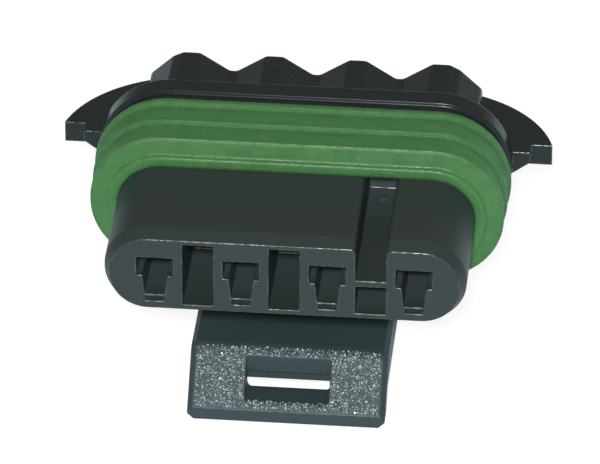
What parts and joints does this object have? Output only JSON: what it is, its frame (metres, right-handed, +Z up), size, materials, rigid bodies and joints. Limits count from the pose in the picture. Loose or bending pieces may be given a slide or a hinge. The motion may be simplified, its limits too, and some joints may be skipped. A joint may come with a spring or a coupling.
{
  "type": "sealed automotive connector housing",
  "caption": "Sealed single-row automotive connector housing with round cable bores, a ribbed nose seal and a flared latch arm.",
  "frame": {"origin": "bottom centre of the bounding box, under the middle of the housing, on the surface it stands on", "axes": "+X along the row of ways, +Y from the mating face to the wire side, +Z up, away from the latch arm"},
  "size_m": [0.0348, 0.025, 0.0181],
  "materials": {
    "housing_plastic": "black glass-filled moulding, satin, with a sparkling grip on the flare",
    "seal_silicone": "green self-lubricating silicone, soft satin"
  },
  "bodies": {
    "root": {"housing": "housing_plastic", "perimeter_seal": "seal_silicone"}
  },
  "joints": []
}
